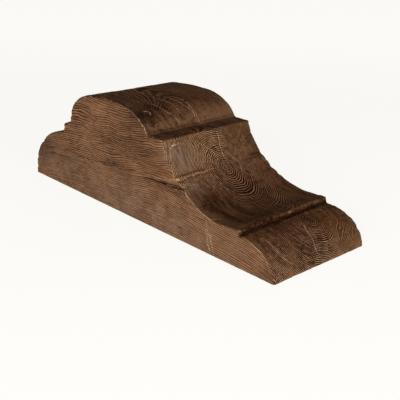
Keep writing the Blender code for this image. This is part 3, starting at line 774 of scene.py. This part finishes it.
def lineMarkGroup():
    # a line of even width from its field: distance over width in thousandths, and how far a place counts
    group, given, wanted = newGroup("lineMark", [("Field", "Vector", (0.008, 0, 0)), ("Broken", "Float", 0.5)],
                                    [("Mask", "Float")])
    nodes = group.nodes
    parts = nodes.new("ShaderNodeSeparateXYZ")
    feed(nodes, parts.inputs[0], given["Field"])
    places = nodes.new("ShaderNodeTexCoord").outputs["Object"]
    rough = math2(nodes, "SUBTRACT", noiseOf(nodes, places, 900.0, 3.0, 0.6), 0.5)
    gap = math2(nodes, "ADD", parts.outputs[0], math2(nodes, "MULTIPLY", rough, 0.0030))
    line = rampBetween(nodes, math2(nodes, "ABSOLUTE", gap), 0.0005, 0.0014, 1.0, 0.0)
    beside = rampBetween(nodes, parts.outputs[1], 0.0, 0.5)
    breaks = rampBetween(nodes, noiseOf(nodes, places, 190.0, 2.0, 0.5), 0.35, 0.60)
    kept = math2(nodes, "SUBTRACT", 1.0, math2(nodes, "MULTIPLY", given["Broken"],
                                               math2(nodes, "SUBTRACT", 1.0, breaks)))
    feed(nodes, wanted["Mask"], math2(nodes, "MULTIPLY", math2(nodes, "MULTIPLY", line, beside), kept, clamp=True))
    return group


stain = {                      # linear colours
    "pale": (0.285, 0.148, 0.074, 1.0),
    "mid": (0.190, 0.095, 0.046, 1.0),
    "dark": (0.046, 0.0175, 0.0066, 1.0),
    "black": (0.014, 0.0055, 0.0022, 1.0),
    "ridge": (0.540, 0.285, 0.150, 1.0),
    "groove": (0.013, 0.0050, 0.0020, 1.0),
    "seam": (0.050, 0.0205, 0.0088, 1.0),
    "band": (0.325, 0.158, 0.078, 1.0),
    "fresh": (0.115, 0.037, 0.0125, 1.0),
    "splinter": (0.660, 0.410, 0.215, 1.0),
    "worn": (0.600, 0.400, 0.255, 1.0),
    "ochre": (0.280, 0.120, 0.040, 1.0),
    "grey": (0.310, 0.200, 0.135, 1.0),
    "dull": (0.085, 0.050, 0.031, 1.0),
    "warm": (0.200, 0.080, 0.027, 1.0),
    # painted shade, multiplied onto the faces that turn up
    "paintedTopShade": (0.635, 0.525, 0.440, 1.0),
    "gloss": 0.04,
}


def stainedWood():
    material = bpy.data.materials.new("stainedWood")
    material.use_nodes = True
    nodes = material.node_tree.nodes
    shader = nodes["Principled BSDF"]

    def field(name, output="Fac"):
        node = nodes.new("ShaderNodeAttribute")
        node.attribute_name = name
        return node.outputs[output]

    def effect(tree, **given):
        node = nodes.new("ShaderNodeGroup")
        node.node_tree = tree
        for name, value in given.items():
            feed(nodes, node.inputs[name], value)
        return node.outputs

    def times(first, second):
        return math2(nodes, "MULTIPLY", first, second, clamp=True)

    def contrast(value, share, amount):
        # swings about 0 by the amount where the share is 1
        return math2(nodes, "MULTIPLY", math2(nodes, "SUBTRACT", value, 0.5), math2(nodes, "MULTIPLY", share, amount))

    grain = field("grainSpace", "Vector")
    ringTree = growthRingsGroup()
    rings = effect(ringTree, Radius=field("ringRadius"), Places=field("about", "Vector"), Stretch=(0.6, 1.0, 1.0))
    sideRings = effect(ringTree, Radius=field("lineHeight"), Places=grain, Stretch=(0.16, 1.0, 1.0), Narrowing=0.0,
                       Pitch=tree["linePitch"], Ripple=tree["ripple"] * 0.7)
    fibre = effect(woodFibreGroup(), Grain=grain)
    worn = effect(edgeWearGroup(), Edge=field("wear"))["Mask"]
    marks = lineMarkGroup()
    masks = {}
    for kind, broken in (("pale", 0.55), ("chalky", 0.5), ("ochre", 0.5), ("dark", 0.3)):
        both = [effect(marks, Field=field(kind + "Line" + str(number), "Vector"), Broken=broken)["Mask"]
                for number in (1, 2)]
        masks[kind] = math2(nodes, "MAXIMUM", both[0], both[1])
    endGrain = field("endGrain")
    places = nodes.new("ShaderNodeTexCoord").outputs["Object"]
    cloud = noiseOf(nodes, places, 26.0, 2.0, 0.5)

    # along the grain: streaks and dashes
    tone = math2(nodes, "ADD", times(fibre["Streak"], 0.70), math2(nodes, "MULTIPLY", cloud, 0.30))
    colour = mixColour(nodes, rampBetween(nodes, tone, 0.45, 0.56), stain["dark"], stain["mid"])
    colour = mixColour(nodes, times(rampBetween(nodes, fibre["Hair"], 0.42, 0.68), 0.60), colour, stain["pale"])
    # the sides: fine wavering lines
    sideShown = math2(nodes, "MULTIPLY", math2(nodes, "MAXIMUM", sideRings["Show"], 0.55), sideRings["Own"])
    clear = field("boldness")
    sideTone = contrast(sideRings["Ridge"], math2(nodes, "MULTIPLY", sideShown, math2(nodes, "ADD", clear, 1.0)), 0.64)
    sideTone = math2(nodes, "ADD", sideTone, math2(nodes, "MULTIPLY_ADD", fibre["Hair"], 0.90, -0.45))
    sideTone = math2(nodes, "ADD", sideTone, math2(nodes, "MULTIPLY_ADD", fibre["Streak"], 0.25, -0.125))
    sideTone = math2(nodes, "ADD", sideTone, math2(nodes, "MULTIPLY_ADD", cloud, 0.4, -0.20))
    sideColour = mixColour(nodes, rampBetween(nodes, sideTone, -0.38, 0.36), stain["seam"], stain["band"])
    colour = mixColour(nodes, field("sideFace"), colour, sideColour)
    # across the grain: rings and rays
    shown = math2(nodes, "MULTIPLY", math2(nodes, "MAXIMUM", rings["Show"], clear), rings["Own"])
    ringTone = contrast(rings["Ridge"], shown, 1.9)
    ringTone = math2(nodes, "ADD", ringTone, math2(nodes, "MULTIPLY_ADD", clear, -0.32, -0.15))
    ringTone = math2(nodes, "ADD", ringTone, math2(nodes, "MULTIPLY_ADD", rings["Ray"], 0.5, -0.25))
    ringTone = math2(nodes, "ADD", ringTone, math2(nodes, "MULTIPLY_ADD", cloud, 0.5, -0.25))
    ringColour = mixColour(nodes, rampBetween(nodes, ringTone, -0.38, 0.42), stain["groove"], stain["ridge"])
    colour = mixColour(nodes, rampBetween(nodes, endGrain, 0.05, 0.60, 0.0, 1.0), colour, ringColour)
    warmth = rampBetween(nodes, noiseOf(nodes, vector2(nodes, "ADD", places, (0.3, 0.1, 0.2)), 38.0, 3.0, 0.55), 0.50, 0.70)
    colour = mixColour(nodes, times(warmth, 0.35), colour, stain["warm"])
    pores = math2(nodes, "MULTIPLY", fibre["Pore"], math2(nodes, "MULTIPLY_ADD", endGrain, -0.30, 0.38))
    colour = mixColour(nodes, pores, colour, stain["black"])
    # painted shade: the faces that turn upwards are darkened
    colour = mixColour(nodes, rampBetween(nodes, field("upward"), 0.55, 1.0), colour, stain["paintedTopShade"], "MULTIPLY")
    colour = mixColour(nodes, times(field("paleStain"), fibre["Hair"]), colour, stain["pale"])
    # grey: painted sheen in the hollow and scrubbed wear low on the near side, streaked by the scrubbing
    brushed = mixColour(nodes, rampBetween(nodes, fibre["Brush"], 0.30, 0.66), stain["dull"], stain["grey"])
    colour = mixColour(nodes, times(field("greyStain"), rampBetween(nodes, fibre["Hair"], 0.3, 0.6, 0.55, 0.9)), colour, brushed)
    ragged = rampBetween(nodes, noiseOf(nodes, places, 420.0, 3.0, 0.65), 0.46, 0.56)
    colour = mixColour(nodes, field("freshStain"), colour, mixColour(nodes, ragged, stain["black"], stain["fresh"]))
    colour = mixColour(nodes, field("ochreStain"), colour, mixColour(nodes, fibre["Hair"], stain["ochre"], stain["dark"]))
    # dark patches: heavy stain and knots, with painted shadow under the fillet, in its near notch and below the side's
    # check
    colour = mixColour(nodes, times(field("darkStain"), rampBetween(nodes, fibre["Streak"], 0.35, 0.60, 1.0, 0.7)),
                       colour, stain["black"])
    chips = rampBetween(nodes, noiseOf(nodes, places, 700.0, 2.0, 0.5), 0.40, 0.55)
    colour = mixColour(nodes, times(field("brightStain"), chips), colour, stain["splinter"])
    # painted shade: corners and creases darkened towards black
    colour = mixColour(nodes, times(field("paintedCreaseShade"), 0.75), colour, stain["black"])
    colour = mixColour(nodes, times(worn, 0.85), colour, stain["worn"])
    colour = mixColour(nodes, times(masks["ochre"], 0.88), colour,
                       mixColour(nodes, rampBetween(nodes, fibre["Hair"], 0.38, 0.58), stain["ochre"], stain["splinter"]))
    colour = mixColour(nodes, times(masks["pale"], 0.62), colour, stain["worn"])
    raised = mixValue(nodes, field("sideFace"), rampBetween(nodes, fibre["Hair"], 0.42, 0.60), sideRings["Ridge"])
    colour = mixColour(nodes, times(masks["chalky"], raised), colour, stain["worn"])
    # dark lines: cracks and grooves, with painted shadow in the groove at the fillet's foot
    colour = mixColour(nodes, times(masks["dark"], 0.90), colour, stain["black"])
    feed(nodes, shader.inputs["Base Color"], colour)
    feed(nodes, shader.inputs["Roughness"], rampBetween(nodes, fibre["Hair"], 0.3, 0.8, 0.70, 0.86))
    shader.inputs["Specular IOR Level"].default_value = stain["gloss"]

    height = math2(nodes, "MULTIPLY", rings["Ridge"], math2(nodes, "MULTIPLY", endGrain, 2.2))
    height = math2(nodes, "ADD", height, math2(nodes, "MULTIPLY", sideRings["Ridge"],
                                               math2(nodes, "MULTIPLY", field("sideFace"), 1.2)))
    height = math2(nodes, "ADD", height, math2(nodes, "MULTIPLY", fibre["Hair"], 0.6))
    height = math2(nodes, "ADD", height, math2(nodes, "MULTIPLY", fibre["Streak"], 0.6))
    height = math2(nodes, "SUBTRACT", height, math2(nodes, "MULTIPLY", fibre["Pore"], 0.5))
    bump = nodes.new("ShaderNodeBump")
    bump.inputs["Strength"].default_value = 0.8
    bump.inputs["Distance"].default_value = 0.00035
    feed(nodes, bump.inputs["Height"], height)
    feed(nodes, shader.inputs["Normal"], bump.outputs["Normal"])
    return material


def makeBlock():
    piece = copyOfSolid("corbel", "corbelWood")
    size = block["voxel"]
    addModifier(piece, "REMESH", mode="VOXEL", voxel_size=size)
    addModifier(piece, "SMOOTH", factor=0.5, iterations=block["smoothing"])
    print("remeshed:", len(piece.data.vertices), "vertices")
    carve(piece)
    thinOut(piece)
    piece.data.materials.append(stainedWood())
    piece.data.shade_smooth()
    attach(piece, "root")
    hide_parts("corbel")
    return piece


studio = {
    "paper": (0.947, 0.938, 0.904, 1.0),
    "paperDepth": 0.22,        # how much of the paper's tone comes from the lamps, the rest is its own glow
    "floorGlow": 0.93,
    "farGlow": 0.99,
    "farStart": 0.5,
    "farEnd": 2.2,
    "floorSize": 24.0,
    "world": (1.0, 0.985, 0.96, 1.0),
    "worldStrength": 0.10,
    # azimuth and elevation in degrees, distance and size in metres, power in watts
    "lights": [
        {"name": "keySoftbox", "azimuth": 30.0, "elevation": 16.0, "distance": 1.6, "size": 0.8, "power": 15.0},
        {"name": "fillSoftbox", "azimuth": 80.0, "elevation": 14.0, "distance": 1.6, "size": 0.7, "power": 9.0},
        {"name": "backSoftbox", "azimuth": 215.0, "elevation": 40.0, "distance": 1.7, "size": 1.2, "power": 2.5},
    ],
}


def direction(azimuth, elevation):
    turn, tilt = math.radians(azimuth), math.radians(elevation)
    return Vector((math.sin(turn) * math.cos(tilt), -math.cos(turn) * math.cos(tilt), math.sin(tilt)))


def makeFloor():
    bpy.ops.mesh.primitive_plane_add(size=studio["floorSize"], location=(0.0, 0.0, 0.0))
    floor = bpy.context.active_object
    floor.name = "studioFloor"
    material = bpy.data.materials.new("studioPaper")
    material.use_nodes = True
    nodes = material.node_tree.nodes
    shader = nodes["Principled BSDF"]
    shader.inputs["Base Color"].default_value = [part * studio["paperDepth"] for part in studio["paper"][:3]] + [1.0]
    shader.inputs["Roughness"].default_value = 1.0
    shader.inputs["Specular IOR Level"].default_value = 0.0
    away = vector2(nodes, "LENGTH", nodes.new("ShaderNodeTexCoord").outputs["Object"])
    glow = rampBetween(nodes, away, studio["farStart"], studio["farEnd"], studio["floorGlow"], studio["farGlow"])
    feed(nodes, shader.inputs["Emission Color"], mixColour(nodes, glow, (0.0, 0.0, 0.0, 1.0), studio["paper"]))
    shader.inputs["Emission Strength"].default_value = 1.0
    floor.data.materials.append(material)
    print("floor laid")


def makeWorld():
    # a dim sky for the light, and the paper's own tone behind the floor
    world = bpy.data.worlds.new("studioWorld")
    world.use_nodes = True
    nodes = world.node_tree.nodes
    sky = nodes["Background"]
    sky.inputs["Color"].default_value = studio["world"]
    sky.inputs["Strength"].default_value = studio["worldStrength"]
    backdrop = nodes.new("ShaderNodeBackground")
    backdrop.inputs["Color"].default_value = studio["paper"]
    seen = nodes.new("ShaderNodeMixShader")
    feed(nodes, seen.inputs[0], nodes.new("ShaderNodeLightPath").outputs["Is Camera Ray"])
    feed(nodes, seen.inputs[1], sky.outputs[0])
    feed(nodes, seen.inputs[2], backdrop.outputs[0])
    feed(nodes, nodes["World Output"].inputs["Surface"], seen.outputs[0])
    bpy.context.scene.world = world


def makeStudio():
    makeFloor()
    middle = (solidBox[0] + solidBox[1]) / 2
    for lamp in studio["lights"]:
        towards = direction(lamp["azimuth"], lamp["elevation"])
        bpy.ops.object.light_add(type="AREA", location=middle + towards * lamp["distance"])
        light = bpy.context.active_object
        light.name = lamp["name"]
        light.rotation_euler = towards.to_track_quat("Z", "Y").to_euler()
        light.data.shape = "SQUARE"
        light.data.size = lamp["size"]
        light.data.energy = lamp["power"]
        light.visible_camera = False
    print("lit by", len(studio["lights"]), "soft lights")
    makeWorld()
    bpy.context.scene.view_settings.view_transform = "Standard"
    bpy.context.scene.view_settings.look = "None"


def makeCamera():
    back = direction(camera["azimuth"], camera["elevation"])
    data = bpy.data.cameras.new("camera")
    data.lens = camera["lens"]
    data.sensor_width = camera["sensor"]
    viewer = bpy.data.objects.new("camera", data)
    viewer.location = camera["place"]
    viewer.rotation_euler = (-back).to_track_quat("-Z", "Y").to_euler()
    bpy.context.scene.collection.objects.link(viewer)
    bpy.context.scene.camera = viewer
    print("camera set")


makeCamera()
makeBlock()
makeStudio()
